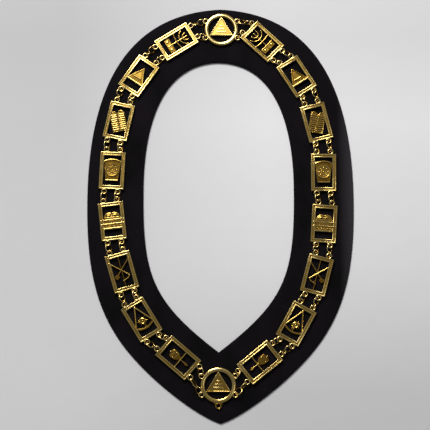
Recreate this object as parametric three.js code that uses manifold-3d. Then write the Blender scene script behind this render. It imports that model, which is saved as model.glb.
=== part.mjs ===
// Chain of office, lying flat: a velvet collar that carries a gold-plated chain of openwork
// plaques and two round medallions, joined in pairs by jump rings.
// Millimetres. The collar lies in XY with its neckline towards +Y and its point towards -Y;
// z = 0 is the surface that it rests on, and the origin is under the middle of its box.

import * as THREE from 'three';
import { mergeVertices } from 'three/addons/utils/BufferGeometryUtils.js';
import Module from 'manifold-3d';

const wasm = await Module();
wasm.setup();

// Collar
const COLLAR_HALF_LENGTH = 231.7;
const COLLAR_HALF_WIDTH = 147;
const COLLAR_WIDEST_Y = 15;
const COLLAR_THICKNESS = 3;
const COLLAR_EDGE_ROUND = 0.8;
const COLLAR_CURVE_SEGMENTS = 16;
const SHOULDER = { x: 94, y: -162 };
// The neckline is cut a little to the left of the collar's middle.
const NECK_SHIFT_X = -2;
const NECK_TOP_Y = 168.5;
const NECK_BOTTOM_Y = -156;
const NECK_HALF_WIDTH = 83;
const NECK_WIDEST_Y = 24;

// Heights of the metal above the resting surface
const PIECE_GAP = 0.3;
const FRAME_BACK_Z = COLLAR_THICKNESS + PIECE_GAP;
const FRAME_THICKNESS = 3.1;
const FRAME_TOP_Z = FRAME_BACK_Z + FRAME_THICKNESS;
const GROOVE_DEPTH = 0.7;
const EMBLEM_BACK_Z = FRAME_BACK_Z + 0.3;
const PLATE_TOP_Z = 5.2;
const RELIEF_TOP_Z = 5.8;

// Plaques
const PLAQUE_WIDTH = 27.5;
const PLAQUE_LENGTH = 41.8;
const FRAME_BAR = 4;
const GROOVE_WIDTH = 1.6;
const WINDOW_HALF_WIDTH = PLAQUE_WIDTH / 2 - FRAME_BAR;
const WINDOW_HALF_LENGTH = PLAQUE_LENGTH / 2 - FRAME_BAR;
const BITE = 0.4;

// Medallions
const MEDALLION_RADIUS = 18.7;
const MEDALLION_BAND = 4;
const MEDALLION_SEGMENTS = 14;
const TRIANGLE_BASE_Y = -6.7;
const LUG_HOLE = { y: -21.6, radius: 1.9 };
const LUG_END_RADIUS = 3.7;

// Loops cast on the pieces, and the jump rings that join them
const LOOP_WIRE = 0.55;
const LOOP_RADIUS = 2.6;
const LOOP_SEGMENTS = 8;
const LOOP_Z = FRAME_TOP_Z - LOOP_WIRE;
const LOOP_SPREAD = 7.5;
const LOOP_REACH = 2.7;
const MEDALLION_LOOP_REACH = 20.5;
const MEDALLION_LOOP_ANGLE = 28.5;
const RING_WIRE = 0.45;
const RING_SEGMENTS = 10;
const WIRE_SIDES = 4;
const RING_HALF_LENGTH = 4.2;
const RING_HALF_WIDTH = 3.5;
const RING_TILT = 36;
const SMALL_RING = { halfLength: 2.6, halfWidth: 2.2, tilt: -52 };
const HOLE_SLACK = 0.85;
const LONGEST_SINGLE_RING = 4.9;
const RING_CONTACT = 0.75;

// Centre line of the plaques on one side of the collar, from the neckline to the point.
const PLAQUE_ROUTE = [
  [48.4, 192], [88.6, 151.3], [111, 95.3], [117, 28.3], [111, -51.7], [84.5, -121.7], [43.8, -164.8],
];
const TOP_MEDALLION = { x: 1.2, y: 206.3, lean: 0 };
const BOTTOM_MEDALLION = { x: -2.4, y: -191.2, lean: 0 };

const GOLD = { color: 0xc9a23c, roughness: 0.28, metalness: 1 };
const VELVET = { color: 0x121016, roughness: 0.95, metalness: 0 };

const degrees = THREE.MathUtils.degToRad;

// ---------------------------------------------------------------- solids

function solidOf(geometry) {
  const bare = geometry.clone();
  bare.deleteAttribute('normal');
  bare.deleteAttribute('uv');
  const merged = mergeVertices(bare, 1e-4);
  return new wasm.Manifold(new wasm.Mesh({
    numProp: 3,
    vertProperties: merged.attributes.position.array,
    triVerts: Uint32Array.from(merged.index.array),
  }));
}

function unite(solids) {
  return solids.reduce((whole, next) => whole.add(next));
}

function meshOf(name, solid, finish) {
  const { vertProperties, triVerts } = solid.getMesh();
  const geometry = new THREE.BufferGeometry();
  geometry.setAttribute('position', new THREE.BufferAttribute(vertProperties, 3));
  geometry.setIndex(new THREE.BufferAttribute(triVerts, 1));
  const mesh = new THREE.Mesh(geometry, new THREE.MeshStandardMaterial(finish));
  mesh.name = name;
  return mesh;
}

// A flat shape given its thickness, from zLow up to zHigh.
function slab(shape, zLow, zHigh, curveSegments = 8) {
  const geometry = new THREE.ExtrudeGeometry(shape, {
    depth: zHigh - zLow,
    bevelEnabled: false,
    curveSegments,
  });
  geometry.translate(0, 0, zLow);
  return solidOf(geometry);
}

function polygon(points) {
  return new THREE.Shape(points.map(([x, y]) => new THREE.Vector2(x, y)));
}

function rectangle(halfWidth, halfLength) {
  return polygon([
    [-halfWidth, -halfLength], [halfWidth, -halfLength],
    [halfWidth, halfLength], [-halfWidth, halfLength],
  ]);
}

// A straight bar of the given width between two points.
function bar([x1, y1], [x2, y2], width, zLow, zHigh) {
  const along = new THREE.Vector2(x2 - x1, y2 - y1).normalize().multiplyScalar(width / 2);
  const corners = [
    [x1 - along.y, y1 + along.x], [x2 - along.y, y2 + along.x],
    [x2 + along.y, y2 - along.x], [x1 + along.y, y1 - along.x],
  ];
  return slab(polygon(corners), zLow, zHigh);
}

function disc([x, y], radius, zLow, zHigh, segments = 7) {
  const shape = new THREE.Shape();
  shape.absarc(x, y, radius, 0, 2 * Math.PI, false);
  return slab(shape, zLow, zHigh, segments);
}

// A curved strip of the given width, from one angle to another about a centre.
function arcStrip([x, y], radius, width, fromAngle, toAngle, zLow, zHigh, segments = 4) {
  const shape = new THREE.Shape();
  const start = degrees(fromAngle);
  const end = degrees(toAngle);
  shape.absarc(x, y, radius + width / 2, start, end, false);
  shape.absarc(x, y, radius - width / 2, end, start, true);
  return slab(shape, zLow, zHigh, segments);
}

// The arc strip that hangs between two level points and dips by sag in the middle.
function saggingStrip(halfSpan, endY, sag, width, zLow, zHigh) {
  const radius = (halfSpan ** 2 + sag ** 2) / (2 * sag);
  const reach = THREE.MathUtils.radToDeg(Math.atan2(halfSpan, radius - sag));
  const centre = [0, endY - sag + radius];
  return arcStrip(centre, radius, width, 270 - reach, 270 + reach, zLow, zHigh);
}

// ---------------------------------------------------------------- collar

// One side of the outer edge, from the top down to the point.
function outerEdge(outline, side) {
  const half = side * COLLAR_HALF_WIDTH;
  outline.bezierCurveTo(side * 97, 227, half, 154, half, COLLAR_WIDEST_Y);
  outline.bezierCurveTo(half, -62, side * 137, -115, side * SHOULDER.x, SHOULDER.y);
  outline.bezierCurveTo(side * 66, -193, side * 23, -224.5, 0, -COLLAR_HALF_LENGTH);
}

function collarOutline() {
  const left = new THREE.Path();
  left.moveTo(0, COLLAR_HALF_LENGTH);
  outerEdge(left, -1);
  const outline = new THREE.Shape();
  outline.moveTo(0, COLLAR_HALF_LENGTH);
  outerEdge(outline, 1);
  const back = left.getPoints(COLLAR_CURVE_SEGMENTS).reverse().slice(1, -1);
  return new THREE.Shape([...outline.getPoints(COLLAR_CURVE_SEGMENTS), ...back]);
}

function neckOutline() {
  const x = (across) => NECK_SHIFT_X + across;
  const half = NECK_HALF_WIDTH;
  const neck = new THREE.Path();
  neck.moveTo(x(0), NECK_TOP_Y);
  neck.bezierCurveTo(x(-58), NECK_TOP_Y - 1, x(-half), 108, x(-half), NECK_WIDEST_Y);
  neck.bezierCurveTo(x(-half), -71, x(-74), -100, x(0), NECK_BOTTOM_Y);
  neck.bezierCurveTo(x(74), -100, x(half), -71, x(half), NECK_WIDEST_Y);
  neck.bezierCurveTo(x(half), 108, x(58), NECK_TOP_Y - 1, x(0), NECK_TOP_Y);
  return neck;
}

function velvetCollar() {
  const shape = collarOutline();
  shape.holes.push(neckOutline());
  const geometry = new THREE.ExtrudeGeometry(shape, {
    depth: COLLAR_THICKNESS - 2 * COLLAR_EDGE_ROUND,
    bevelThickness: COLLAR_EDGE_ROUND,
    bevelSize: COLLAR_EDGE_ROUND,
    bevelOffset: -COLLAR_EDGE_ROUND,
    bevelSegments: 1,
    curveSegments: COLLAR_CURVE_SEGMENTS,
  });
  geometry.translate(0, 0, COLLAR_EDGE_ROUND);
  return meshOf('velvet_collar', solidOf(geometry), VELVET);
}

// ---------------------------------------------------------------- loops and jump rings

// An oval ring of round wire, flat in XY, its long axis along X.
function wireRing(halfLength, halfWidth, wire, turns) {
  const geometry = new THREE.TorusGeometry(1, wire, WIRE_SIDES, turns);
  const { position } = geometry.attributes;
  for (let i = 0; i < position.count; i += 1) {
    const angle = Math.atan2(position.getY(i), position.getX(i));
    const fromCentre = Math.hypot(position.getX(i), position.getY(i)) - 1;
    const x = (halfLength + fromCentre) * Math.cos(angle);
    const y = (halfWidth + fromCentre) * Math.sin(angle);
    position.setXY(i, x, y);
  }
  return solidOf(geometry);
}

function castLoop(x, y) {
  return wireRing(LOOP_RADIUS, LOOP_RADIUS, LOOP_WIRE, LOOP_SEGMENTS).translate([x, y, LOOP_Z]);
}

// A ring in the frame of its gap: X runs from one loop to the next, and the ring is tilted about X.
function gapRing(middleX, halfLength, halfWidth, tilt) {
  return wireRing(halfLength, halfWidth, RING_WIRE, RING_SEGMENTS)
    .rotate([tilt, 0, 0])
    .translate([middleX, 0, 0]);
}

// One ring, drawn out a little where the loops are far apart, or two rings hooked together.
function linkSolid(gap) {
  const halfLength = Math.max(RING_HALF_LENGTH, gap / 2 - HOLE_SLACK);
  if (halfLength <= LONGEST_SINGLE_RING) {
    return gapRing(gap / 2, halfLength, RING_HALF_WIDTH, RING_TILT);
  }
  const spare = gap + RING_CONTACT - 2 * RING_HALF_LENGTH;
  const smallHalfLength = Math.max(SMALL_RING.halfLength, spare / 2 - HOLE_SLACK);
  const pull = spare / 2 - smallHalfLength;
  return unite([
    gapRing(pull + smallHalfLength, smallHalfLength, SMALL_RING.halfWidth, SMALL_RING.tilt),
    gapRing(gap - pull - RING_HALF_LENGTH, RING_HALF_LENGTH, RING_HALF_WIDTH, RING_TILT),
  ]);
}

function link(name, from, to) {
  const dx = to.x - from.x;
  const dy = to.y - from.y;
  const mesh = meshOf(name, linkSolid(Math.hypot(dx, dy)), GOLD);
  mesh.position.set(from.x, from.y, LOOP_Z);
  mesh.rotation.z = Math.atan2(dy, dx);
  return mesh;
}

// ---------------------------------------------------------------- emblems
// Each is drawn in its plaque's frame: +y towards the top medallion, and x on the left side of
// the collar. hand is 1 there and -1 on the right side, where the emblem is mirrored.

const plate = (points, hand = 1) =>
  slab(polygon(points.map(([x, y]) => [hand * x, y])), EMBLEM_BACK_Z, PLATE_TOP_Z);
const rib = (from, to, width) => bar(from, to, width, EMBLEM_BACK_Z, RELIEF_TOP_Z);
const rod = (from, to, width) => bar(from, to, width, EMBLEM_BACK_Z + 0.4, PLATE_TOP_Z);
const SIDE_X = WINDOW_HALF_WIDTH + BITE;

function menorah() {
  const armWidth = 1.1;
  return [
    rib([0, 12.8], [0, -7], 1.5),
    saggingStrip(4.4, 11.8, 2.9, armWidth, EMBLEM_BACK_Z, RELIEF_TOP_Z),
    saggingStrip(8.2, 9.8, 5.8, armWidth, EMBLEM_BACK_Z, RELIEF_TOP_Z),
    saggingStrip(SIDE_X, 1.8, 2, armWidth, EMBLEM_BACK_Z, RELIEF_TOP_Z),
    plate([[-8.6, -5.6], [-8.2, -12.2], [8.2, -12.2], [8.6, -5.6]]),
    rib([-8.3, -6.4], [8.3, -6.4], 1.3),
  ];
}

function delta() {
  const apex = [0, 11.7];
  const left = [-SIDE_X, -7.9];
  const right = [SIDE_X, -7.9];
  return [
    plate([apex, left, right]),
    rib([0, 11.2], left, 1.3),
    rib([0, 11.2], right, 1.3),
    rib(left, right, 1.5),
    rib([-2.6, -1.7], [2.6, -1.7], 1.4),
  ];
}

function tablets(hand) {
  const lean = 23 * hand;
  const half = { width: 4.15, length: 11.8 };
  const solids = [];
  for (const side of [-1, 1]) {
    const middle = side * half.width;
    const shape = new THREE.Shape();
    shape.moveTo(middle - half.width, -half.length);
    shape.lineTo(middle + half.width, -half.length);
    shape.absarc(middle, half.length - half.width, half.width, 0, Math.PI, false);
    solids.push(slab(shape, EMBLEM_BACK_Z, PLATE_TOP_Z, 4));
  }
  return [unite(solids).rotate([0, 0, lean]).translate([-0.4 * hand, -0.1, 0])];
}

function keystone() {
  const shape = new THREE.Shape();
  shape.moveTo(-6.6, -10.9);
  shape.lineTo(6.6, -10.9);
  shape.lineTo(9.6, 10.9);
  shape.quadraticCurveTo(0, 15.9, -9.6, 10.9);
  return [
    slab(shape, EMBLEM_BACK_Z, PLATE_TOP_Z, 4),
    disc([0, 0.8], 7.6, PLATE_TOP_Z - 0.2, RELIEF_TOP_Z, 9),
    rib([-SIDE_X, 10], [-9, 10], 1.4),
    rib([SIDE_X, 10], [9, 10], 1.4),
  ];
}

function ark() {
  const poleReach = PLAQUE_WIDTH / 2 - 0.3;
  const wing = (side) => arcStrip(
    [side * 1.8, 5.2], 4.6, 2.6, side < 0 ? 95 : -25, side < 0 ? 205 : 85,
    EMBLEM_BACK_Z, PLATE_TOP_Z, 3);
  return [
    plate([[-9, -8.6], [9, -8.6], [8.6, 3.4], [-8.6, 3.4]]),
    rib([-SIDE_X, -8], [SIDE_X, -8], 1.6),
    rib([-3.2, 4.2], [3.2, 4.2], 2),
    bar([-poleReach, 2.6], [poleReach, 2.6], 1.3, EMBLEM_BACK_Z, FRAME_TOP_Z),
    bar([-poleReach, -2], [poleReach, -2], 1.3, EMBLEM_BACK_Z, FRAME_TOP_Z),
    wing(-1),
    wing(1),
  ];
}

function tools(hand) {
  const at = ([x, y]) => [x * hand, y];
  return [
    rod([0, WINDOW_HALF_LENGTH + BITE], [-0.6, -WINDOW_HALF_LENGTH - BITE], 1.3),
    rod(at([-SIDE_X - 1, 12.4]), at([7.4, -5]), 1.4),
    rod(at([SIDE_X - 0.6, 12.8]), at([-7.6, -3.4]), 1.4),
    plate([[-5.6, -1.6], [-9.9, -3], [-9.9, -5.4], [-6.6, -7.6], [-3.4, -5]], hand),
    rod(at([7.2, -4.8]), at([5.6, -7.2]), 1.3),
    rod(at([6, -6.9]), at([-1, -10.2]), 1.3),
  ];
}

function compasses() {
  return [
    rib([0, WINDOW_HALF_LENGTH + BITE], [0, 14.6], 3.4),
    rib([0, 15.8], [-SIDE_X, -7.6], 1.7),
    rib([0, 15.8], [SIDE_X, -7.6], 1.7),
    disc([0, -1.6], 5, EMBLEM_BACK_Z, PLATE_TOP_Z),
    rib([0, -5.8], [0, -9.6], 1.2),
    rib([-4.6, -0.2], [-6.8, 0.8], 1.2),
    rib([4.6, -0.2], [6.8, 0.8], 1.2),
    saggingStrip(SIDE_X, -7.9, 1.7, 2, EMBLEM_BACK_Z, PLATE_TOP_Z),
  ];
}

function pot() {
  return [
    rib([-SIDE_X, -3.2], [SIDE_X, -3.2], 1.4),
    plate([[-2.2, -3.2], [2.2, -3.2], [4.3, 1.1], [5, 3.9], [5.2, 7.1], [4, 9.9], [-4, 9.9],
      [-5.2, 7.1], [-5, 3.9], [-4.3, 1.1]]),
    rib([-4.9, 6.9], [4.9, 6.9], 1.2),
    rib([0, -3.2], [0, -8], 1.2),
    plate([[0, -5.5], [1.4, -10.4], [0, -13.6], [-1.6, -10.4]]),
  ];
}

// ---------------------------------------------------------------- plaques and medallions

function plaqueFrame() {
  const halfWidth = PLAQUE_WIDTH / 2;
  const halfLength = PLAQUE_LENGTH / 2;
  const band = rectangle(halfWidth, halfLength);
  band.holes.push(rectangle(WINDOW_HALF_WIDTH, WINDOW_HALF_LENGTH));
  const inset = (FRAME_BAR - GROOVE_WIDTH) / 2;
  const groove = rectangle(halfWidth - inset, halfLength - inset);
  groove.holes.push(rectangle(WINDOW_HALF_WIDTH + inset, WINDOW_HALF_LENGTH + inset));
  return slab(band, FRAME_BACK_Z, FRAME_TOP_Z)
    .subtract(slab(groove, FRAME_TOP_Z - GROOVE_DEPTH, FRAME_TOP_Z + 1));
}

function plaque(name, emblem, hand) {
  const loops = [];
  for (const end of [-1, 1]) {
    for (const side of [-1, 1]) {
      loops.push(castLoop(side * LOOP_SPREAD, end * (PLAQUE_LENGTH / 2 + LOOP_REACH)));
    }
  }
  return meshOf(name, unite([plaqueFrame(), ...loops, ...emblem(hand)]), GOLD);
}

function circleShape(radius) {
  const shape = new THREE.Shape();
  shape.absarc(0, 0, radius, 0, 2 * Math.PI, false);
  return shape;
}

function medallionRing() {
  const band = circleShape(MEDALLION_RADIUS);
  band.holes.push(circleShape(MEDALLION_RADIUS - MEDALLION_BAND));
  return slab(band, FRAME_BACK_Z, FRAME_TOP_Z, MEDALLION_SEGMENTS);
}

// A triangle in the ring, with a raised rim and three plain steps on its face.
function medallionTriangle() {
  const inner = MEDALLION_RADIUS - MEDALLION_BAND;
  const cornerX = Math.sqrt(inner ** 2 - TRIANGLE_BASE_Y ** 2) + BITE;
  const apex = [0, inner + BITE];
  const corners = [[-cornerX, TRIANGLE_BASE_Y], [cornerX, TRIANGLE_BASE_Y]];
  const steps = [[2, 2.6], [3.6, -0.6], [5.4, -3.6]];
  return unite([
    plate([apex, ...corners]),
    rib(apex, corners[0], 1.6),
    rib(apex, corners[1], 1.6),
    rib(corners[0], corners[1], 1.8),
    ...steps.map(([half, y]) => rib([-half, y], [half, y], 1.5)),
  ]);
}

// The tab under the bottom medallion, pierced for a hanging jewel.
function jewelLug() {
  const shape = new THREE.Shape();
  shape.moveTo(-6, -16.8);
  shape.lineTo(-LUG_END_RADIUS, LUG_HOLE.y);
  shape.absarc(0, LUG_HOLE.y, LUG_END_RADIUS, Math.PI, 2 * Math.PI, false);
  shape.lineTo(6, -16.8);
  const hole = new THREE.Path();
  hole.absarc(0, LUG_HOLE.y, LUG_HOLE.radius, 0, 2 * Math.PI, false);
  shape.holes.push(hole);
  return slab(shape, FRAME_BACK_Z + 0.4, FRAME_TOP_Z - GROOVE_DEPTH, 5);
}

function medallion(name, extras = []) {
  const loops = medallionLoops().map(({ x, y }) => castLoop(x, y));
  return meshOf(name, unite([medallionRing(), medallionTriangle(), ...loops, ...extras]), GOLD);
}

// ---------------------------------------------------------------- layout of the chain

const PLAQUES = [
  ['menorah', menorah], ['delta', delta], ['tablets', tablets], ['keystone', keystone],
  ['ark', ark], ['tools', tools], ['compasses', compasses], ['pot', pot],
];
// The whole chain lies a little to the left of the collar's centre line.
const DRIFT_X = [-0.9, -3, -3, -2.8, -2.5, -1.2, -1.8, -1.7];
const SIDES = [
  { name: 'left', side: -1, stretch: 0.992, turns: [13, 1, -2, 1, -3, 0, 2, -6] },
  { name: 'right', side: 1, stretch: 1.006, turns: [-2, 1, 0, 2, 0, -1, -4, 8] },
];

function medallionLoops() {
  const x = MEDALLION_LOOP_REACH * Math.cos(degrees(MEDALLION_LOOP_ANGLE));
  const y = MEDALLION_LOOP_REACH * Math.sin(degrees(MEDALLION_LOOP_ANGLE));
  return [{ x, y }, { x, y: -y }, { x: -x, y }, { x: -x, y: -y }];
}

// Where a point of a piece's own frame comes to lie on the collar.
function onCollar(station, x, y) {
  const turn = degrees(station.lean);
  return {
    x: station.x + x * Math.cos(turn) + y * Math.sin(turn),
    y: station.y - x * Math.sin(turn) + y * Math.cos(turn),
  };
}

// The plaques sit at equal steps along the route. lean is the clockwise turn of the long axis,
// and the turns are the small angles by which the pieces were sewn down off the route.
function plaqueStations({ side, stretch, turns }) {
  const [, topY] = PLAQUE_ROUTE[0];
  const points = PLAQUE_ROUTE.map(([x, y]) =>
    new THREE.Vector3(side * x, topY + stretch * (y - topY), 0));
  const route = new THREE.CatmullRomCurve3(points);
  return turns.map((turn, index) => {
    const along = index / (turns.length - 1);
    const { x, y } = route.getPointAt(along);
    const tangent = route.getTangentAt(along);
    const lean = THREE.MathUtils.radToDeg(Math.atan2(-tangent.x, -tangent.y)) + turn;
    return { x: x + DRIFT_X[index], y, lean };
  });
}

function place(mesh, station) {
  mesh.position.set(station.x, station.y, 0);
  mesh.rotation.z = -degrees(station.lean);
  return mesh;
}

// The two loops of a medallion that face one side of the collar.
function facingLoops(station, side) {
  const x = side * medallionLoops()[0].x;
  const y = medallionLoops()[0].y;
  return { upper: onCollar(station, x, y), lower: onCollar(station, x, -y) };
}

function plaqueLoops(station, side) {
  const reach = PLAQUE_LENGTH / 2 + LOOP_REACH;
  const outer = side * LOOP_SPREAD;
  return {
    topOuter: onCollar(station, outer, reach),
    topInner: onCollar(station, -outer, reach),
    bottomOuter: onCollar(station, outer, -reach),
    bottomInner: onCollar(station, -outer, -reach),
  };
}

function chainSide(half) {
  const { name, side } = half;
  const stations = plaqueStations(half);
  const meshes = PLAQUES.map(([title, emblem], index) =>
    place(plaque(`${name}_${title}_plaque`, emblem, -side), stations[index]));
  const top = facingLoops(TOP_MEDALLION, side);
  const bottom = facingLoops(BOTTOM_MEDALLION, side);
  let before = { outer: top.upper, inner: top.lower };
  stations.forEach((station, index) => {
    const loops = plaqueLoops(station, side);
    meshes.push(link(`${name}_outer_link_${index + 1}`, loops.topOuter, before.outer));
    meshes.push(link(`${name}_inner_link_${index + 1}`, loops.topInner, before.inner));
    before = { outer: loops.bottomOuter, inner: loops.bottomInner };
  });
  const last = PLAQUES.length + 1;
  meshes.push(link(`${name}_outer_link_${last}`, before.outer, bottom.lower));
  meshes.push(link(`${name}_inner_link_${last}`, before.inner, bottom.upper));
  return meshes;
}

const chainOfOffice = new THREE.Group();
chainOfOffice.name = 'chain_of_office';
chainOfOffice.add(velvetCollar());
chainOfOffice.add(place(medallion('medallion_top'), TOP_MEDALLION));
chainOfOffice.add(place(medallion('medallion_bottom', [jewelLug()]), BOTTOM_MEDALLION));
for (const side of SIDES) {
  chainOfOffice.add(...chainSide(side));
}

export default chainOfOffice;
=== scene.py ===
"""Chain of office: the looks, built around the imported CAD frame.

The scene is in metres, +Z up. The collar lies in XY, round end towards +Y and point towards -Y.
Metal pieces are drawn in millimetres, each about its own middle with +y towards the top medallion, and
then laid on their CAD nodes.
"""

import math

import bmesh
import bpy
from mathutils import Matrix, Vector, noise


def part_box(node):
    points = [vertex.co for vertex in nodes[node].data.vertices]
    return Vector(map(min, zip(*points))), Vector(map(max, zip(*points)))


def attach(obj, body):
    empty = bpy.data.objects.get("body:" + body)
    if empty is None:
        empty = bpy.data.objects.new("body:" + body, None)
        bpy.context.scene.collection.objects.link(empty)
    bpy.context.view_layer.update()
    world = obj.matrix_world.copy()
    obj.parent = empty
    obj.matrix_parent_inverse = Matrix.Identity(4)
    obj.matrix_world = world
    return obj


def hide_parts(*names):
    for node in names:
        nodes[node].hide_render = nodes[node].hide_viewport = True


MM = 0.001

# Collar outline and section, in millimetres
COLLAR_TOP = 3.0
NECK_SHIFT_X = -2
NECK_TOP_Y = 168.5
NECK_BOTTOM_Y = -156
NECK_HALF_WIDTH = 83
NECK_WIDEST_Y = 24
COLLAR_WIDEST_Y = 15
SHOULDER = (94, -162)
OUTLINE_STEPS = 150

# Heights of the metal, in millimetres
FRAME_BACK = 3.3
FRAME_TOP = 6.4
EMBLEM_BACK = 3.6
RELIEF_TOP = 5.8

# Plaques and medallions, in millimetres. BITE is how far an emblem runs into its frame.
PLAQUE_HALF_WIDTH = 13.75
PLAQUE_HALF_LENGTH = 20.9
FRAME_BAR = 4
WINDOW_X = PLAQUE_HALF_WIDTH - FRAME_BAR
WINDOW_Y = PLAQUE_HALF_LENGTH - FRAME_BAR
BITE = 0.5
SIDE_X = WINDOW_X + BITE
MEDALLION_RADIUS = 18.7
MEDALLION_BAND = 4
TRIANGLE_BASE_Y = -6.7
LUG_HOLE_Y = -21.6

# Cast loops and jump rings, in millimetres. LOOP_WIRE sets how high a loop lies, and
# LOOP_WIRE_DRAWN is the fuller wire that is seen.
LOOP_WIRE = 0.55
LOOP_WIRE_DRAWN = 0.64
LOOP_RADIUS = 2.6
LOOP_Z = FRAME_TOP - LOOP_WIRE
LOOP_SPREAD = 7.5
LOOP_REACH = 2.7
MEDALLION_LOOP_REACH = 20.5
MEDALLION_LOOP_ANGLE = math.radians(28.5)
RING_WIRE = 0.52
RING_HALF_LENGTH = 4.2
RING_HALF_WIDTH = 3.5
RING_TILT = math.radians(36)
SMALL_HALF_LENGTH = 2.6
SMALL_HALF_WIDTH = 2.2
SMALL_TILT = math.radians(-52)
HOLE_SLACK = 0.85
LONGEST_SINGLE_RING = 4.9
RING_CONTACT = 0.75

# Gold colours by height, from the back of a frame (0) to its top (1): painted shade darkens the recesses
# and a painted highlight pales the top
GOLD_SHADE_STOPS = [
    (0.32, (0.12, 0.056, 0.007)),
    (0.54, (0.32, 0.185, 0.028)),
    (0.70, (0.56, 0.35, 0.065)),
    (0.86, (0.90, 0.61, 0.15)),
    (1.0, (1.0, 0.76, 0.30)),
]
GOLD_ROUGHNESS = 0.15

# Velvet colours, and where a grey sheen is painted along the right edge, in metres across the collar
VELVET_DARK = (0.0026, 0.0023, 0.0028)
VELVET_BRUSHED = (0.0080, 0.0056, 0.0085)
VELVET_PAINTED_SHEEN = (0.046, 0.042, 0.047)
PAINTED_SHEEN_FROM_X = 0.130
PAINTED_SHEEN_TO_X = 0.147

# The floor's greys from the point (0) to the round end (1), along its left and its right: painted light
# and shade, with a painted shadow near the point on the right
FLOOR_LEFT_LIGHT_AND_SHADE = [(0, (0.85, 0.85, 0.87)), (0.5, (0.75, 0.75, 0.77)), (1.0, (0.62, 0.62, 0.64))]
FLOOR_RIGHT_LIGHT_AND_SHADE = [
    (0, (0.77, 0.77, 0.79)),
    (0.35, (0.93, 0.93, 0.95)),
    (0.75, (0.97, 0.97, 0.99)),
    (1.0, (0.83, 0.83, 0.85)),
]
FLOOR_HALF_SIZE = 8.0

# Camera, in metres
CAMERA_TILT = math.radians(10)
CAMERA_DISTANCE = 1.2
CAMERA_TARGET = (-0.0060, -0.0061, 0.003)
CAMERA_LENS = 91.4

# Lights: name, place, size, power, colour, target
LIGHTS = [
    ("window", (-0.5, 1.45, 1.4), (1.0, 0.8), 34, (1, 0.985, 0.96), (0, 0.05, 0)),
    ("card", (-0.2, 1.0, 1.65), (0.44, 0.7), 3.6, (1, 0.99, 0.97), (0, 0, 0)),
    ("lamp", (0.55, -0.3, 1.9), (0.3, 0.3), 0.4, (0.98, 0.99, 1), (0, 0, 0)),
]
# The room's strength rises from 0.12 to 0.3 as a direction leans beyond the round end
ROOM_STRENGTH = (0.0, 0.6, 0.12, 0.3)

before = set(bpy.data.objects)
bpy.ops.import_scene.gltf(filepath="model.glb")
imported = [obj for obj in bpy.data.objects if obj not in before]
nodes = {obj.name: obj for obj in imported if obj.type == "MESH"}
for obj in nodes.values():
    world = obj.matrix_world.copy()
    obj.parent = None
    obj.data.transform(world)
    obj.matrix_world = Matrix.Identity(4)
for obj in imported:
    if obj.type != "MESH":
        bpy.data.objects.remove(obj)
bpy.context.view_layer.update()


# ---------------------------------------------------------------- materials

def new_material(name):
    material = bpy.data.materials.new(name)
    material.use_nodes = True
    tree = material.node_tree
    return material, tree, tree.nodes["Principled BSDF"]


def axes(tree, kind="Object"):
    """The X, Y and Z outputs of a texture coordinate."""
    parts = tree.nodes.new("ShaderNodeSeparateXYZ")
    tree.links.new(tree.nodes.new("ShaderNodeTexCoord").outputs[kind], parts.inputs["Vector"])
    return parts.outputs


def add_noise(tree, scale, detail, roughness=0.5, stretch=None):
    place = tree.nodes.new("ShaderNodeTexCoord").outputs["Object"]
    if stretch:
        mapping = tree.nodes.new("ShaderNodeMapping")
        mapping.inputs["Scale"].default_value = stretch
        tree.links.new(place, mapping.inputs["Vector"])
        place = mapping.outputs["Vector"]
    texture = tree.nodes.new("ShaderNodeTexNoise")
    texture.inputs["Scale"].default_value = scale
    texture.inputs["Detail"].default_value = detail
    texture.inputs["Roughness"].default_value = roughness
    tree.links.new(place, texture.inputs["Vector"])
    return texture.outputs["Fac"]


def add_range(tree, source, low, high, to_low, to_high):
    node = tree.nodes.new("ShaderNodeMapRange")
    limits = {"From Min": low, "From Max": high, "To Min": to_low, "To Max": to_high}
    for name, value in limits.items():
        node.inputs[name].default_value = value
    tree.links.new(source, node.inputs["Value"])
    return node.outputs["Result"]


def add_ramp(tree, source, stops):
    ramp = tree.nodes.new("ShaderNodeValToRGB")
    elements = ramp.color_ramp.elements
    for position, _ in stops[1:-1]:
        elements.new(position)
    for element, (position, colour) in zip(elements, stops):
        element.position = position
        element.color = (*colour, 1)
    tree.links.new(source, ramp.inputs["Fac"])
    return ramp.outputs["Color"]


def add_mix(tree, factor, first, second, blend="MIX"):
    mix = tree.nodes.new("ShaderNodeMix")
    mix.data_type = "RGBA"
    mix.blend_type = blend
    for name, value in (("Factor", factor), ("A", first), ("B", second)):
        socket = mix.inputs[name]
        if isinstance(value, bpy.types.NodeSocket):
            tree.links.new(value, socket)
        else:
            socket.default_value = value if isinstance(value, float) else (*value, 1)
    return mix.outputs["Result"]


def add_math(tree, operation, first, second):
    node = tree.nodes.new("ShaderNodeMath")
    node.operation = operation
    for socket, value in zip(node.inputs, (first, second)):
        if isinstance(value, bpy.types.NodeSocket):
            tree.links.new(value, socket)
        else:
            socket.default_value = value
    return node.outputs["Value"]


def add_bump(tree, height, strength, distance, under=None):
    bump = tree.nodes.new("ShaderNodeBump")
    bump.inputs["Strength"].default_value = strength
    bump.inputs["Distance"].default_value = distance
    tree.links.new(height, bump.inputs["Height"])
    if under:
        tree.links.new(under, bump.inputs["Normal"])
    return bump.outputs["Normal"]


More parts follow.
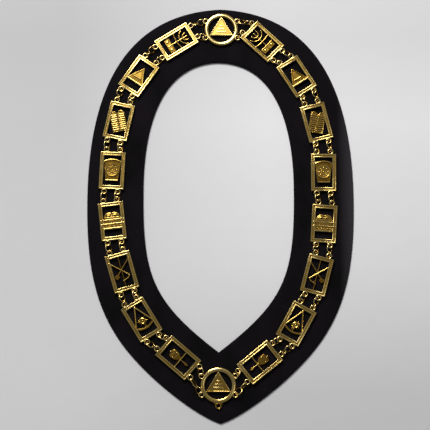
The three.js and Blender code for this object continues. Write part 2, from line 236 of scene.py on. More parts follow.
def gold_material():
    """Polished gold plate: painted shade makes it brown in the recesses and a painted highlight makes it
    paler towards the top; it is also duller in the recesses and smoother towards the top.
    """
    material, tree, shader = new_material("gold_plate")
    shader.inputs["Metallic"].default_value = 1
    # painted shade and highlight: the base colour darkens with depth towards the recesses and pales
    # towards the top
    rise = add_range(tree, axes(tree)["Z"], FRAME_BACK * MM, FRAME_TOP * MM, 0, 1)
    blotch = add_range(tree, add_noise(tree, 60, 1), 0.3, 0.7, -0.05, 0.05)
    level = add_math(tree, "ADD", rise, blotch)
    tree.links.new(add_ramp(tree, level, GOLD_SHADE_STOPS), shader.inputs["Base Color"])
    scuffs = add_noise(tree, 160, 2)
    wear = add_range(tree, scuffs, 0.3, 0.75, GOLD_ROUGHNESS - 0.04, GOLD_ROUGHNESS + 0.05)
    dull = add_range(tree, level, 0.4, 0.9, 0.2, 0)
    tree.links.new(add_math(tree, "ADD", wear, dull), shader.inputs["Roughness"])
    ripple = add_bump(tree, add_noise(tree, 45, 1), 0.11, 0.0008)
    tree.links.new(ripple, shader.inputs["Normal"])
    return material


def velvet_material():
    """Black velvet: a dark pile brushed into patches, with a grey sheen painted along its right edge."""
    material, tree, shader = new_material("velvet_pile")
    shader.inputs["Roughness"].default_value = 0.95
    shader.inputs["Specular IOR Level"].default_value = 0.12
    shader.inputs["Sheen Weight"].default_value = 0.35
    shader.inputs["Sheen Roughness"].default_value = 0.34
    shader.inputs["Sheen Tint"].default_value = (0.85, 0.78, 0.84, 1)
    brushed = add_noise(tree, 26, 3, 0.6, (1, 0.6, 1))
    patch = add_range(tree, brushed, 0.35, 0.7, 0, 1)
    colour = add_mix(tree, patch, VELVET_DARK, VELVET_BRUSHED)
    # painted sheen: a grey band painted along the collar's right outer edge
    painted_sheen = add_range(tree, axes(tree)["X"], PAINTED_SHEEN_FROM_X, PAINTED_SHEEN_TO_X, 0, 1)
    colour = add_mix(tree, painted_sheen, colour, VELVET_PAINTED_SHEEN)
    pile = add_noise(tree, 1500, 3, 0.7)
    tint = add_range(tree, pile, 0.3, 0.7, 0.45, 1.45)
    shade = tree.nodes.new("ShaderNodeCombineXYZ")
    for axis in "XYZ":
        tree.links.new(tint, shade.inputs[axis])
    colour = add_mix(tree, 1.0, colour, shade.outputs["Vector"], "MULTIPLY")
    tree.links.new(colour, shader.inputs["Base Color"])
    nap = add_bump(tree, brushed, 0.3, 0.002)
    tufts = add_bump(tree, pile, 0.55, 0.0005, nap)
    tree.links.new(tufts, shader.inputs["Normal"])
    return material


def floor_material():
    """A pale sheet with painted light and shade: greyer along its left and lightest at the right,
    between the corners.
    """
    material, tree, shader = new_material("pale_floor")
    shader.inputs["Roughness"].default_value = 0.9
    shader.inputs["Specular IOR Level"].default_value = 0.1
    place = axes(tree)
    across = add_range(tree, place["X"], -0.17, 0.05, 0, 1)
    along = add_range(tree, place["Y"], -0.2, 0.2, 0, 1)
    # painted light and shade: the floor's greys vary by place, with a painted shadow near the point on
    # the right
    left = add_ramp(tree, along, FLOOR_LEFT_LIGHT_AND_SHADE)
    right = add_ramp(tree, along, FLOOR_RIGHT_LIGHT_AND_SHADE)
    tree.links.new(add_mix(tree, across, left, right), shader.inputs["Base Color"])
    tree.links.new(add_bump(tree, add_noise(tree, 14, 4), 0.2, 0.004), shader.inputs["Normal"])
    return material


# ---------------------------------------------------------------- shells
# A shell is one closed surface, kept as (vertices, faces) in millimetres.

def loft(loops, closed=False):
    """Skins loops of equal length. An open run gets a cap at both ends."""
    size = len(loops[0])
    vertices = [tuple(point) for loop in loops for point in loop]
    faces = []
    for span in range(len(loops) if closed else len(loops) - 1):
        here = span * size
        there = (span + 1) % len(loops) * size
        for side in range(size):
            after = (side + 1) % size
            faces.append((here + side, here + after, there + after, there + side))
    if not closed:
        faces.append(tuple(range(size)))
        faces.append(tuple(range(len(vertices) - size, len(vertices))))
    return vertices, faces


def mapped(shell, change):
    """A shell with every vertex changed."""
    vertices, faces = shell
    return [tuple(change(Vector(point))) for point in vertices], faces


def moved(shells, matrix):
    """Shells carried by a matrix."""
    return [mapped(shell, lambda point: matrix @ point) for shell in shells]


def directions(path, closed):
    """The unit side vector and the mitre stretch at each point of a level path."""
    count = len(path)
    points = [Vector(point) for point in path]
    result = []
    for index, point in enumerate(points):
        coming = going = None
        if closed or index:
            coming = (point - points[index - 1]).normalized()
        if closed or index < count - 1:
            going = (points[(index + 1) % count] - point).normalized()
        coming = coming or going
        going = going or coming
        along = (coming + going).normalized()
        stretch = 1 / max(0.35, along.dot(going))
        result.append((Vector((-along.y, along.x)), stretch))
    return result


def sweep(path, section, closed=False, widths=None):
    """Carries a section of (offset, height) points along a level path."""
    loops = []
    widths = widths or [1] * len(path)
    for (x, y), width, (side, stretch) in zip(path, widths, directions(path, closed)):
        loops.append([
            (x + side.x * offset * stretch * width, y + side.y * offset * stretch * width, height)
            for offset, height in section])
    return loft(loops, closed)


def ridge(width, low, high, steps=8):
    """The section of a rib: upright sides and a round back."""
    half = width / 2
    rise = min(half, (high - low) * 0.7)
    points = [(half, low)]
    for step in range(steps + 1):
        angle = math.pi * step / steps
        points.append((half * math.cos(angle), high - rise + rise * math.sin(angle)))
    return points + [(-half, low)]


def bar(width, low, high, edge, steps=3):
    """The section of a flat bar with its upper edges rounded off."""
    half = width / 2
    points = [(half, low)]
    turns = [math.pi / 2 * step / steps for step in range(steps + 1)]
    for side, order in ((1, turns), (-1, turns[::-1])):
        for angle in order:
            out = half - edge + edge * math.cos(angle)
            points.append((side * out, high - edge + edge * math.sin(angle)))
    return points + [(-half, low)]


def tip(end, inner, radius, steps=4):
    """(point, width factor) pairs from the end of a path inwards, over one radius."""
    inward = (inner - end).normalized()
    pairs = []
    for step in range(steps):
        turn = math.pi / 2 * step / steps
        pairs.append((end + inward * radius * (1 - math.cos(turn)), max(0.12, math.sin(turn))))
    return pairs + [(end + inward * radius, 1)]


def rounded_ends(path, radius):
    """A path and its width factors, with both ends narrowed to a round tip."""
    points = [Vector(point) for point in path]
    start = tip(points[0], points[1], radius)
    finish = tip(points[-1], points[-2], radius)
    run = start + [(point, 1) for point in points[1:-1]] + finish[::-1]
    return [tuple(point) for point, _ in run], [width for _, width in run]


def rib(path, width, high=RELIEF_TOP, round_ends=False):
    """A round-backed rib along a path, ended square or with round tips."""
    section = ridge(width, EMBLEM_BACK, high)
    if not round_ends:
        return sweep(path, section)
    run, widths = rounded_ends(path, width / 2)
    return sweep(run, section, widths=widths)


def is_clockwise(outline):
    sides = zip(outline, outline[1:] + outline[:1])
    return sum(x1 * y2 - x2 * y1 for (x1, y1), (x2, y2) in sides) < 0


def inset(outline, distance):
    """The outline drawn in by a small distance."""
    inward = -1 if is_clockwise(outline) else 1
    return [
        (x + side.x * stretch * distance * inward, y + side.y * stretch * distance * inward)
        for (x, y), (side, stretch) in zip(outline, directions(outline, True))]


def plate(outline, high, low=EMBLEM_BACK, edge=0.3, steps=3):
    """A flat piece with its upper edge rounded off."""
    loops = [[(x, y, low) for x, y in outline]]
    for step in range(steps + 1):
        angle = math.pi / 2 * step / steps
        drawn = inset(outline, edge * (1 - math.cos(angle)))
        loops.append([(x, y, high - edge + edge * math.sin(angle)) for x, y in drawn])
    return loft(loops)


def turned(centre, profile, sides):
    """A shell of revolution about an upright axis, from (radius, height) points."""
    x, y = centre
    turns = [2 * math.pi * side / sides for side in range(sides)]
    return loft([
        [(x + radius * math.cos(turn), y + radius * math.sin(turn), height) for turn in turns]
        for radius, height in profile])


def knob(centre, radius, high, low=EMBLEM_BACK, sides=20, steps=5):
    """A round-topped stud."""
    rise = min(radius, high - low - 0.1)
    profile = [(radius, low)]
    for step in range(steps + 1):
        angle = math.pi / 2 * step / (steps + 0.4)
        profile.append((radius * math.cos(angle), high - rise + rise * math.sin(angle)))
    return turned(centre, profile, sides)


def arc(centre, radius, start, end, steps):
    """Points on a circle, with the angles in degrees."""
    return [
        (centre[0] + radius * math.cos(math.radians(start + (end - start) * step / steps)),
         centre[1] + radius * math.sin(math.radians(start + (end - start) * step / steps)))
        for step in range(steps + 1)]


def hanging_arc(half_span, end_y, sag, steps=20):
    """An arc that dips by sag between two level ends."""
    radius = (half_span ** 2 + sag ** 2) / (2 * sag)
    reach = math.degrees(math.atan2(half_span, radius - sag))
    return arc((0, end_y - sag + radius), radius, 270 - reach, 270 + reach, steps)


def wire_ring(half_length, half_width, wire, cut=None, stations=44, sides=12):
    """An oval ring of round wire in XY. A jump ring is cut through at one angle."""
    gap = 0.035 if cut is not None else 0
    start = (cut or 0) + gap / 2
    count = stations + 1 if cut is not None else stations
    turns = [2 * math.pi * side / sides for side in range(sides)]
    loops = []
    for station in range(count):
        angle = start + (2 * math.pi - gap) * station / stations
        out = Vector((math.cos(angle), math.sin(angle), 0))
        middle = Vector((half_length * out.x, half_width * out.y, 0))
        loops.append([
            middle + out * (wire * math.cos(turn)) + Vector((0, 0, wire * math.sin(turn)))
            for turn in turns])
    return loft(loops, closed=cut is None)


# ---------------------------------------------------------------- meshes and objects

def mesh_of(shells, matrix=Matrix.Identity(4)):
    """One mesh of the given shells, each turned to face outwards, in metres."""
    mesh = bpy.data.meshes.new("shells")
    build = bmesh.new()
    scale = Matrix.Scale(MM, 4)
    for vertices, faces in shells:
        corners = [build.verts.new(scale @ matrix @ Vector(point)) for point in vertices]
        for face in faces:
            build.faces.new([corners[index] for index in face])
    bmesh.ops.recalc_face_normals(build, faces=build.faces)
    build.to_mesh(mesh)
    build.free()
    return mesh


def joined(shells, matrix):
    """One closed mesh of shells that overlap."""
    objects = [bpy.data.objects.new("shell", mesh_of([shell], matrix)) for shell in shells]
    others = bpy.data.collections.new("others")
    for other in objects[1:]:
        others.objects.link(other)
    bpy.context.scene.collection.children.link(others)
    bpy.context.scene.collection.objects.link(objects[0])
    union = objects[0].modifiers.new("join", "BOOLEAN")
    union.operation = "UNION"
    union.operand_type = "COLLECTION"
    union.collection = others
    union.solver = "MANIFOLD"
    depsgraph = bpy.context.evaluated_depsgraph_get()
    mesh = bpy.data.meshes.new_from_object(objects[0].evaluated_get(depsgraph))
    for shell in objects:
        used = shell.data
        bpy.data.objects.remove(shell)
        bpy.data.meshes.remove(used)
    bpy.data.collections.remove(others)
    return mesh


def finished(name, mesh, material, sharp=35, weighted=True):
    """Adds a piece to the scene with smooth faces, crisp corners and its material."""
    mesh.name = name
    mesh.materials.clear()
    mesh.materials.append(material)
    mesh.shade_smooth()
    mesh.set_sharp_from_angle(angle=math.radians(sharp))
    piece = bpy.data.objects.new(name, mesh)
    bpy.context.scene.collection.objects.link(piece)
    if weighted:
        normals = piece.modifiers.new("flat_faces", "WEIGHTED_NORMAL")
        normals.keep_sharp = True
        depsgraph = bpy.context.evaluated_depsgraph_get()
        piece.data = bpy.data.meshes.new_from_object(piece.evaluated_get(depsgraph))
        piece.modifiers.clear()
    return piece


def declare(piece, node):
    """Hangs a piece on the root body and hides the CAD node that it stands for."""
    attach(piece, "root")
    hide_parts(node)


# ---------------------------------------------------------------- collar

def bezier(points, steps):
    """Points of a Bezier curve of any degree, without its last one."""
    run = []
    for step in range(steps):
        level = [Vector(point) for point in points]
        while len(level) > 1:
            level = [first.lerp(second, step / steps) for first, second in zip(level, level[1:])]
        run.append(level[0])
    return run


def evenly(points, count):
    """The given number of steps of equal length along a polyline, both ends included."""
    lengths = [0]
    for first, second in zip(points, points[1:]):
        lengths.append(lengths[-1] + (second - first).length)
    run = []
    span = 0
    for step in range(count + 1):
        target = lengths[-1] * step / count
        while span < len(points) - 2 and lengths[span + 1] < target:
            span += 1
        share = (target - lengths[span]) / (lengths[span + 1] - lengths[span])
        run.append(points[span].lerp(points[span + 1], share))
    return run


def mirrored_loop(half, shift=0):
    """A whole outline from its right half, which runs from the top to the point."""
    loop = half + [Vector((-point.x, point.y)) for point in reversed(half[1:-1])]
    return [Vector((point.x + shift, point.y)) for point in loop]


def outer_outline():
    """The collar's outer edge: a round end, long sides and a point.

    The first and last points of each run lie on the edge, and the others are its handles.
    """
    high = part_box("velvet_collar")[1]
    half_width = high[0] / MM
    half_length = high[1] / MM
    run = bezier([(0, half_length), (97, 227), (half_width, 154), (half_width, COLLAR_WIDEST_Y)], 80)
    run += bezier([(half_width, COLLAR_WIDEST_Y), (half_width, -62), (137, -115), SHOULDER], 80)
    run += bezier([SHOULDER, (66, -193), (23, -224.5), (0, -half_length)], 60)
    return mirrored_loop(evenly(run + [Vector((0, -half_length))], OUTLINE_STEPS))


def neck_outline():
    """The neckline, in as many steps as the outer edge and built in the same way."""
    half = NECK_HALF_WIDTH
    run = bezier([(0, NECK_TOP_Y), (58, NECK_TOP_Y - 1), (half, 108), (half, NECK_WIDEST_Y)], 80)
    run += bezier([(half, NECK_WIDEST_Y), (half, -71), (74, -100), (0, NECK_BOTTOM_Y)], 80)
    return mirrored_loop(evenly(run + [Vector((0, NECK_BOTTOM_Y))], OUTLINE_STEPS), NECK_SHIFT_X)


def edge_rows(reach, drop):
    """(distance from the edge, height) from the underside up over a soft rolled edge."""
    tight = 0.9
    shoulder = COLLAR_TOP - drop
    rows = [(0.8, 0.0), (0.3, 0.12), (0.05, 0.45), (0.0, shoulder - tight)]
    for step in (1, 2, 3):
        angle = math.pi / 2 * step / 4
        rows.append((tight * (1 - math.cos(angle)), shoulder - tight + tight * math.sin(angle)))
    for share in (0.1, 0.22, 0.36, 0.52, 0.7, 0.85, 1):
        rows.append((reach * share, COLLAR_TOP - drop * (1 - share) ** 2))
    return rows


def collar_section(width):
    """(distance from the outer edge, height) once round the collar's section."""
    section = edge_rows(13, 1.1)
    section += [(width * share, COLLAR_TOP) for share in (0.3, 0.42, 0.55, 0.68, 0.8)]
    section += [(width - distance, height) for distance, height in reversed(edge_rows(7, 0.6))]
    return section + [(width * share, 0.0) for share in (0.75, 0.5, 0.25)]


def settled(x, y, height):
    """A height on the collar, with the upper face sunk a little here and there."""
    if height <= 1.2:
        return height
    swell = noise.noise(Vector((x, y, 0)) / 34) - 0.5
    return height + min(0, 0.22 * swell * min(1, height / COLLAR_TOP))


def velvet_collar(material):
    """One closed sheet, skinned over sections that run from the outer edge to the neckline."""
    loops = []
    for start, end in zip(outer_outline(), neck_outline()):
        across = end - start
        width = across.length
        across.normalize()
        loop = []
        for distance, height in collar_section(width):
            x, y = start + across * distance
            loop.append((x, y, settled(x, y, height)))
        loops.append(loop)
    piece = finished("collar_velvet", mesh_of([loft(loops, closed=True)]), material, 60, False)
    declare(piece, "velvet_collar")


# ---------------------------------------------------------------- plaque frames

def rim_section(half, rim, depth):
    """A bar with a low crown along each side and a groove between them, as (offset, height)."""
    points = [(half - 0.15, FRAME_BACK), (half, FRAME_BACK + 0.15), (half, FRAME_TOP - 0.35)]
    crown = rim / 2
    for step in range(7):
        across = 1 - step / 3
        points.append((half - crown + across * (crown - 0.06), FRAME_TOP - 0.17 * across ** 2))
    points.append((half - rim, FRAME_TOP - 0.35))
    points.append((half - rim - 0.12, FRAME_TOP - depth))
    points.append((0, FRAME_TOP - depth + 0.1))
    return points + [(-offset, height) for offset, height in reversed(points[:-1])]


def plaque_frame():
    """An upright rectangle of grooved bar."""
    x = PLAQUE_HALF_WIDTH - FRAME_BAR / 2
    y = PLAQUE_HALF_LENGTH - FRAME_BAR / 2
    corners = [(-x, -y), (x, -y), (x, y), (-x, y)]
    return sweep(corners, rim_section(FRAME_BAR / 2, 1.25, 0.95), closed=True)


def cast_loop(x, y):
    """A flat loop of wire at the edge of a casting."""
    loop = wire_ring(LOOP_RADIUS, LOOP_RADIUS, LOOP_WIRE_DRAWN)
    return mapped(loop, lambda point: point + Vector((x, y, LOOP_Z)))


def plaque_loops():
    reach = PLAQUE_HALF_LENGTH + LOOP_REACH
    return [cast_loop(side * LOOP_SPREAD, end * reach) for side in (-1, 1) for end in (-1, 1)]


# ---------------------------------------------------------------- emblems
# Drawn as on the left side of the collar, where x is negative towards the outer edge.

def menorah():
    """A branched lamp on a block foot with two diamonds."""
    shells = [rib([(0, 12.6), (0, -6.5)], 1.5)]
    for half_span, end_y, sag in ((4.0, 12.4, 4.2), (8.2, 9.9, 5.6)):
        shells.append(rib(hanging_arc(half_span, end_y, sag), 1.2))
        shells += [knob((side * half_span, end_y + 0.5), 1.0, 5.9) for side in (-1, 1)]
    shells.append(rib(hanging_arc(SIDE_X, 1.5, 1.4), 1.2))
    stem_knobs = ((13.2, 1.15), (8.2, 1.05), (4.3, 1.15), (0.1, 1.2))
    shells += [knob((0, y), radius, 6.1) for y, radius in stem_knobs]
    shells.append(plate([(-8.6, -5.6), (-8.2, -12.2), (8.2, -12.2), (8.6, -5.6)], 5.0, edge=0.5))
    shells.append(rib([(-8.3, -6.4), (8.3, -6.4)], 1.2))
    for x in (-5, 5):
        diamond = [(x - 2.1, -9.3), (x, -11.4), (x + 2.1, -9.3), (x, -7.2)]
        shells.append(plate(diamond, 6.0, edge=0.9, steps=4))
    shells.append(rib([(0, -6), (0, -11.6)], 1.6, 5.9, round_ends=True))
    return shells


def delta():
    """A stepped triangle on a bar across the window."""
    apex = (0, 11.4)
    corners = [apex, (-SIDE_X, -7.6), (SIDE_X, -7.6)]
    rim = [(0, 10.3), (-9.3, -6.8), (9.3, -6.8)]
    step = [(0, 6.6), (-4.6, -2), (4.6, -2)]
    return [
        plate(corners, 4.7),
        sweep(rim, ridge(0.9, EMBLEM_BACK, 5.6), closed=True),
        plate(step, 5.1, edge=0.25),
        rib([(-4.6, -2.4), (4.6, -2.4)], 1.5, 6.2, round_ends=True),
        *[knob((x, -4.9), 0.75, 5.3) for x in (-4.6, -2.3, 0, 2.3, 4.6)],
        sweep([(-SIDE_X, -7.8), (SIDE_X, -7.8)], bar(1.9, EMBLEM_BACK, 6.2, 0.5)),
    ]


def tablet(middle, half_width, half_length):
    """A round-topped tablet with a raised edge and level lines."""
    top = arc((middle, half_length - half_width), half_width, 0, 180, 14)
    outline = top + [(middle - half_width, -half_length), (middle + half_width, -half_length)]
    shells = [plate(outline, 4.9, edge=0.4)]
    edge = inset(outline, 0.4)
    shells.append(sweep(edge, ridge(0.75, EMBLEM_BACK, 5.9), closed=True))
    reach = half_width - 0.7
    for line in range(8):
        y = half_length - 4.2 - 2.4 * line
        shells.append(rib([(middle - reach, y), (middle + reach, y)], 1.25, 6.2, round_ends=True))
    return shells


def tablets():
    """Two leaning tablets side by side."""
    half_width = 3.95
    spread = half_width + 0.2
    shells = tablet(-spread, half_width, 11.9) + tablet(spread, half_width, 11.9)
    shells.append(plate([(-1, -11.4), (1, -11.4), (1, 7.6), (-1, 7.6)], 4.1, edge=0.1))
    turn = Matrix.Translation((-0.4, -0.1, 0)) @ Matrix.Rotation(math.radians(23), 4, "Z")
    return moved(shells, turn)


def keystone():
    """A keystone with a round dish of studs and a foot bar."""
    arch = arc((0, -5.2), 18.6, 60, 120, 16)
    outline = arch + [(-8.1, 0), (-6.7, -11.4), (6.7, -11.4), (8.1, 0)]
    centre = (0, 0.8)
    dish = [(7.6, EMBLEM_BACK), (7.6, 5.4), (7.45, 5.95), (7.1, 6.2), (6.7, 6.0), (6.4, 5.6),
            (6.1, 5.45), (3.5, 5.45), (3.2, 5.8), (2.8, 6.0), (2.4, 5.8), (2.1, 5.45), (0.6, 5.4)]
    studs = [knob(place, 0.8, 6.1, 5.0, 14) for place in arc(centre, 4.85, 0, 315, 7)]
    top_band = arc((0, -5.2), 17.9, 58, 122, 16)
    return [
        plate(outline, 4.6),
        rib(top_band, 1.5, 6.1),
        turned(centre, dish, 56),
        *studs,
        knob(centre, 1.0, 6.0, 5.0, 16),
        rib([(-6.7, -10.8), (6.7, -10.8)], 1.4, 6.2),
        *[rib([(side * 8.9, 9.6), (side * 6.5, -10.6)], 0.9, 5.6) for side in (-1, 1)],
        *[rib([(side * 8.5, 9.6), (side * SIDE_X, 9.6)], 1.6, 5.4) for side in (-1, 1)],
    ]


def wing(side):
    """A raised wing that curves up and over towards the middle, with its feathers."""
    shells = []
    for radius, width in ((5.2, 1.5), (3.9, 1.3), (2.7, 1.2)):
        path = arc((side * 2.9, 4.4), radius, 90 - side * 88, 90 + side * 35, 14)
        shells.append(rib(path, width, 5.9, round_ends=True))
    return shells


def ark():
    """A chest with carrying poles, under a pair of wings."""
    shells = wing(-1) + wing(1)
    shells.append(plate([(-SIDE_X, -8.9), (SIDE_X, -8.9), (9, 4.6), (-9, 4.6)], 5.3))
    shells.append(knob((0, 6.4), 1.3, 6.0))
    shells.append(sweep([(-7.6, 4.2), (7.6, 4.2)], bar(1.7, EMBLEM_BACK, 5.9, 0.5)))
    for y, width in ((1.9, 1.4), (-2.6, 1.4)):
        ends = [(-PLAQUE_HALF_WIDTH + 0.5, y), (PLAQUE_HALF_WIDTH - 0.5, y)]
        shells.append(rib(ends, width, 6.35, round_ends=True))
    for column in range(-3, 4):
        shells.append(rib([(column * 2.4, 1.4), (column * 2.4, -2.1)], 1.0, 5.9))
    for bead in range(-7, 8):
        shells.append(knob((bead * 1.25, -5.4), 0.55, 5.9, 4.4, 12))
    shells.append(sweep([(-SIDE_X, -7.9), (SIDE_X, -7.9)], bar(2.0, EMBLEM_BACK, 6.3, 0.5)))
    return shells


def spade():
    """The blade at the lower end of the spade's handle."""
    blade = [(-5.6, -1.6), (-9.2, -3.0), (-9.6, -5.4), (-6.6, -7.6), (-3.4, -5.0)]
    return [
        plate(blade, 4.9),
        rib([(-5.4, -2.6), (-8.0, -5.4)], 0.8, 5.4, round_ends=True),
    ]


def tools():
    """A crossed pick and spade over an upright rod."""
    pick = [(7.2, -4.8), (5.6, -7.4), (-1.2, -10.3)]
    shells = [
        rib([(0, WINDOW_Y + BITE), (0, -WINDOW_Y - BITE)], 1.2, 5.2),
        rib([(-SIDE_X - 1.2, 12.6), (7.7, -5.5)], 1.35, 5.9, round_ends=True),
        rib([(SIDE_X + 0.6, 13.2), (-5.6, -3.2)], 1.35, 5.6, round_ends=True),
        rib(pick, 1.4, 6.0, round_ends=True),
    ]
    shells += [knob(place, 1.3, 6.35) for place in ((-SIDE_X - 0.9, 12.3), (SIDE_X + 0.3, 12.9))]
    return shells + spade()


def compasses():
    """Compasses open on an arc, with a rayed disc between the legs."""
    centre = (0, -1.6)
    shells = [
        rib([(0, 15.4), (-SIDE_X, -6.2)], 1.7, 6.1),
        rib([(0, 15.4), (SIDE_X, -6.2)], 1.7, 6.1),
        knob((0, 15.4), 1.7, 6.2),
        rib([(0, 15), (0, WINDOW_Y + BITE)], 2.2, 5.6),
        sweep(hanging_arc(SIDE_X, -6.6, 3.3), bar(2.1, EMBLEM_BACK, 5.3, 0.35)),
    ]
    face = [(3.4, EMBLEM_BACK), (3.4, 5.3), (3.2, 5.8), (2.8, 5.95), (2.3, 5.75), (2.0, 5.4), (0.5, 5.4)]
    shells.append(turned(centre, face, 36))
    for step in range(12):
        turn = math.pi / 6 * step + math.pi / 12
        reach = 5.7 if step % 2 else 5.0
        ends = [(centre[0] + r * math.cos(turn), centre[1] + r * math.sin(turn)) for r in (2.8, reach)]
        shells.append(sweep(ends, ridge(1.5, EMBLEM_BACK, 5.4), widths=[1, 0.25]))
    shells.append(knob(centre, 1.0, 5.9, 5.0, 16))
    shells.append(rib([(0, -5.8), (0, -9.4)], 1.1, 5.2))
    return shells


def pot():
    """A pot on a bar, with a leaf hanging below."""
    urn = [(-2.2, -0.6), (-3.0, 0.2), (-4.3, 2.2), (-5.0, 5.0), (-5.2, 8.2), (-4.6, 10.4), (-2.4, 11.2),
           (2.4, 11.2), (4.6, 10.4), (5.2, 8.2), (5.0, 5.0), (4.3, 2.2), (3.0, 0.2), (2.2, -0.6)]
    leaf = [(0.1, -3.4), (-1.0, -6.2), (-1.9, -9.4), (-1.5, -11.6), (-0.2, -12.9), (1.2, -11.6),
            (1.6, -9.4), (1.0, -6.2)]
    shells = [
        rib([(-SIDE_X, -2.1), (SIDE_X, -2.1)], 1.4, 5.9),
        plate(urn, 5.0, edge=1.0, steps=5),
        rib([(-4.9, 8.0), (4.9, 8.0)], 1.0, 5.9, round_ends=True),
        rib([(-4.2, 3.4), (4.2, 3.4)], 0.8, 5.6, round_ends=True),
        knob((0, 11.2), 1.5, 5.9),
        rib([(0, -0.4), (0, -2.2)], 3.4, 5.4),
        plate(leaf, 4.9, edge=0.7, steps=4),
        rib([(0, -2), (-0.3, -11.6)], 0.9, 6.0, round_ends=True),
        *[knob((side * 3.6, 5.8), 0.9, 6.1) for side in (-1, 1)],
    ]
    return moved(shells, Matrix.Translation((0, -1.1, 0)))


EMBLEMS = {
    "menorah": menorah,
    "delta": delta,
    "tablets": tablets,
    "keystone": keystone,
    "ark": ark,
    "tools": tools,
    "compasses": compasses,
    "pot": pot,
}


# ---------------------------------------------------------------- medallions

def domed_band():
    """The section of a medallion's ring: nearly flat, with rounded edges."""
    half = MEDALLION_BAND / 2
    points = [(half, FRAME_BACK), (half, 5.6), (half - 0.1, 5.9)]
    for step in range(9):
        across = 1 - step / 4
        points.append((across * (half - 0.35), 6.08 + 0.3 * (1 - across ** 2)))
    return points + [(-half + 0.1, 5.9), (-half, 5.6), (-half, FRAME_BACK)]


def medallion_ring():
    """A plain round band."""
    middle = MEDALLION_RADIUS - MEDALLION_BAND / 2
    return sweep(arc((0, 0), middle, 0, 360, 120)[:-1], domed_band(), closed=True)


def medallion_triangle():
    """A triangular plate with a raised rim and three steps."""
    inner = MEDALLION_RADIUS - MEDALLION_BAND
    corner_x = math.sqrt(inner ** 2 - TRIANGLE_BASE_Y ** 2) + BITE
    corners = [(0, inner + BITE), (-corner_x, TRIANGLE_BASE_Y), (corner_x, TRIANGLE_BASE_Y)]
    rim_x = corner_x - 1.1
    rim_y = TRIANGLE_BASE_Y + 0.3
    rim = [(0, inner - 1.0), (-rim_x, rim_y), (rim_x, rim_y)]
    shells = [
        plate(corners, 5.5),
        sweep(rim, ridge(1.3, EMBLEM_BACK, 6.2), closed=True),
    ]
    for half, y in ((2.0, 4.4), (3.6, 0.9), (5.4, -2.6)):
        shells.append(plate([(-half, y - 0.9), (half, y - 0.9), (half, y + 0.9), (-half, y + 0.9)], 6.2))
    return shells


def lug_shells():
    """The tab under the bottom medallion, pierced for a hanging jewel."""
    rim = wire_ring(2.7, 2.7, 0.75)
    return [
        mapped(rim, lambda point: point + Vector((0, LUG_HOLE_Y, 4.9))),
        sweep([(4.6, -16.7), (2.9, -20.3)], bar(1.6, FRAME_BACK + 0.4, 5.5, 0.4)),
        sweep([(-4.6, -16.7), (-2.9, -20.3)], bar(1.6, FRAME_BACK + 0.4, 5.5, 0.4)),
        plate([(-4.9, -16.6), (4.9, -16.6), (3.0, -19.4), (-3.0, -19.4)], 5.0, FRAME_BACK + 0.4),
    ]


def medallion_loop_places():
    """Loop middles: right upper, right lower, left upper, left lower."""
    x = MEDALLION_LOOP_REACH * math.cos(MEDALLION_LOOP_ANGLE)
    y = MEDALLION_LOOP_REACH * math.sin(MEDALLION_LOOP_ANGLE)
    return [(x, y), (x, -y), (-x, y), (-x, -y)]


# ---------------------------------------------------------------- placing

def back_corners(node):
    """The node's lowest vertices, level with its back, in millimetres."""
    points = [vertex.co / MM for vertex in nodes[node].data.vertices]
    return [point for point in points if abs(point.z - FRAME_BACK) < 0.06]


def plaque_place(node):
    """Where a plaque lies: its matrix, from the four outer corners of its frame's back."""
    points = back_corners(node)
    middle = sum(points, Vector()) / len(points)
    corners = []
    for point in sorted(points, key=lambda point: -(point - middle).length):
        if all((point - other).length > 1 for other in corners):
            corners.append(point)
        if len(corners) == 4:
            break
    centre = sum(corners, Vector()) / 4
    first = corners[0]
    partner = min(corners[1:], key=lambda point: abs((point - first).length - 2 * PLAQUE_HALF_LENGTH))
    along = (partner - first).normalized()
    if along.y < 0:
        along = -along
    turn = math.atan2(along.y, along.x) - math.pi / 2
    return Matrix.Translation((centre.x, centre.y, 0)) @ Matrix.Rotation(turn, 4, "Z")


def medallion_place(node):
    """Where a medallion lies, from its upper edge, because only the bottom one has a tab below."""
    low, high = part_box("medallion_top")
    half_length = (high[1] - low[1]) / 2
    low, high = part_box(node)
    return Matrix.Translation(((low[0] + high[0]) / 2 / MM, (high[1] - half_length) / MM, 0))


def spots(matrix, places):
    """The middles of cast loops on a laid piece."""
    return [matrix @ Vector((x, y, LOOP_Z)) for x, y in places]


# ---------------------------------------------------------------- rings

def gap_ring(middle, half_length, half_width, tilt, cut):
    """A jump ring along the x axis, tilted so that it passes through its neighbours."""
    ring = wire_ring(half_length, half_width, RING_WIRE, cut)
    turn = Matrix.Translation((middle, 0, 0)) @ Matrix.Rotation(tilt, 4, "X")
    return mapped(ring, lambda point: turn @ point)


def gap_rings(gap, chance):
    """One ring between near loops, or two hooked together between far ones.

    The chance, from -1 to 1, says where round the ring its cut lies.
    """
    cut = 0.9 + 2.1 * chance
    half_length = max(RING_HALF_LENGTH, gap / 2 - HOLE_SLACK)
    if half_length <= LONGEST_SINGLE_RING:
        return [gap_ring(gap / 2, half_length, RING_HALF_WIDTH, RING_TILT, cut)]
    spare = gap + RING_CONTACT - 2 * RING_HALF_LENGTH
    small = max(SMALL_HALF_LENGTH, spare / 2 - HOLE_SLACK)
    pull = spare / 2 - small
    return [
        gap_ring(pull + small, small, SMALL_HALF_WIDTH, SMALL_TILT, cut + 1),
        gap_ring(gap - pull - RING_HALF_LENGTH, RING_HALF_LENGTH, RING_HALF_WIDTH, RING_TILT, cut),
    ]


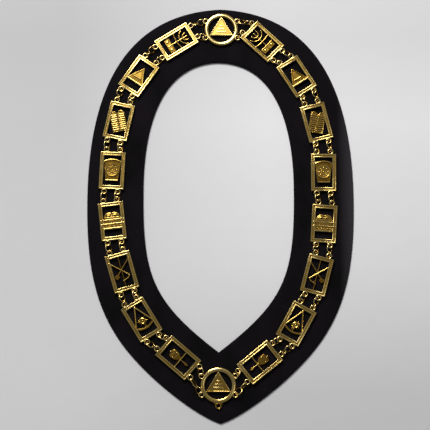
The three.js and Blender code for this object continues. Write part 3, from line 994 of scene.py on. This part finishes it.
def link(node, start, end, material):
    """The rings that join two cast loops."""
    reach = end - start
    rings = gap_rings(reach.length, math.sin(start.x * 1.7 + start.y))
    place = Matrix.Translation(start) @ Matrix.Rotation(math.atan2(reach.y, reach.x), 4, "Z")
    piece = finished(node.replace("link", "rings"), mesh_of(rings, place), material, 50, False)
    declare(piece, node)


# ---------------------------------------------------------------- the chain

def build_plaque(node, shells, matrix, material):
    """Frame, loops and emblem as one casting, laid on its CAD node."""
    mesh = joined([plaque_frame(), *plaque_loops(), *shells], matrix)
    piece = finished(node.replace("plaque", "casting"), mesh, material)
    declare(piece, node)


def build_medallion(node, extras, material):
    """A medallion as one casting. Returns the middles of its loops."""
    matrix = medallion_place(node)
    loops = [cast_loop(x, y) for x, y in medallion_loop_places()]
    mesh = joined([medallion_ring(), *medallion_triangle(), *loops, *extras], matrix)
    piece = finished(node + "_casting", mesh, material)
    declare(piece, node)
    return spots(matrix, medallion_loop_places())


def build_side(name, side, top, bottom, gold):
    """Eight plaques down one side (-1 left, 1 right) and the links between them.

    Loops go in pairs, outer then inner. top and bottom are the medallions' loops on this side.
    """
    flip = Matrix.Scale(-side, 4, (1, 0, 0))
    reach = PLAQUE_HALF_LENGTH + LOOP_REACH
    above = top
    for index, (title, drawing) in enumerate(EMBLEMS.items()):
        node = f"{name}_{title}_plaque"
        matrix = plaque_place(node)
        build_plaque(node, moved(drawing(), flip), matrix, gold)
        outer = side * LOOP_SPREAD
        upper = spots(matrix, [(outer, reach), (-outer, reach)])
        for line, start, end in zip(("outer", "inner"), upper, above):
            link(f"{name}_{line}_link_{index + 1}", start, end, gold)
        above = spots(matrix, [(outer, -reach), (-outer, -reach)])
    for line, start, end in zip(("outer", "inner"), above, bottom):
        link(f"{name}_{line}_link_{len(EMBLEMS) + 1}", start, end, gold)


def build_chain(gold):
    """Two medallions, and the plaques and links down each side between them.

    The outer line of links runs to the upper loops at the top and to the lower ones at the point.
    """
    top = build_medallion("medallion_top", [], gold)
    bottom = build_medallion("medallion_bottom", lug_shells(), gold)
    for name, side, upper, lower in (("left", -1, 2, 3), ("right", 1, 0, 1)):
        build_side(name, side, [top[upper], top[lower]], [bottom[lower], bottom[upper]], gold)


# ---------------------------------------------------------------- stage

def aimed(thing, place, target):
    thing.location = place
    thing.rotation_euler = (Vector(target) - Vector(place)).to_track_quat("-Z", "Y").to_euler()


def add_light(name, place, size, power, colour, target):
    light = bpy.data.lights.new(name, "AREA")
    light.shape = "RECTANGLE"
    light.size, light.size_y = size
    light.energy = power
    light.color = colour
    lamp = bpy.data.objects.new(name, light)
    bpy.context.scene.collection.objects.link(lamp)
    aimed(lamp, place, target)


def add_world():
    """A pale room that is brighter beyond the round end than towards the point."""
    world = bpy.data.worlds.new("room")
    bpy.context.scene.world = world
    world.use_nodes = True
    tree = world.node_tree
    background = tree.nodes["Background"]
    background.inputs["Color"].default_value = (0.98, 0.99, 1, 1)
    direction = axes(tree, "Generated")
    sideways = add_math(tree, "MULTIPLY", direction["X"], 0.3)
    towards = add_math(tree, "SUBTRACT", direction["Y"], sideways)
    strength = add_range(tree, towards, *ROOM_STRENGTH)
    tree.links.new(strength, background.inputs["Strength"])


def add_lights():
    for light in LIGHTS:
        add_light(*light)
    add_world()


def add_floor():
    mesh = bpy.data.meshes.new("floor")
    half = FLOOR_HALF_SIZE
    corners = [(-half, -half, 0), (half, -half, 0), (half, half, 0), (-half, half, 0)]
    mesh.from_pydata(corners, [], [(0, 1, 2, 3)])
    mesh.materials.append(floor_material())
    floor = bpy.data.objects.new("floor", mesh)
    bpy.context.scene.collection.objects.link(floor)


def add_camera():
    """Looks down at the collar from a little below its point."""
    data = bpy.data.cameras.new("camera")
    data.lens = CAMERA_LENS
    data.sensor_width = 36
    camera = bpy.data.objects.new("camera", data)
    back = Vector((0, -math.sin(CAMERA_TILT), math.cos(CAMERA_TILT)))
    camera.location = Vector(CAMERA_TARGET) + back * CAMERA_DISTANCE
    camera.rotation_euler = (CAMERA_TILT, 0, 0)
    bpy.context.scene.collection.objects.link(camera)
    bpy.context.scene.camera = camera


def main():
    add_camera()
    add_lights()
    add_floor()
    bpy.context.scene.view_settings.view_transform = "Standard"
    velvet_collar(velvet_material())
    build_chain(gold_material())


main()
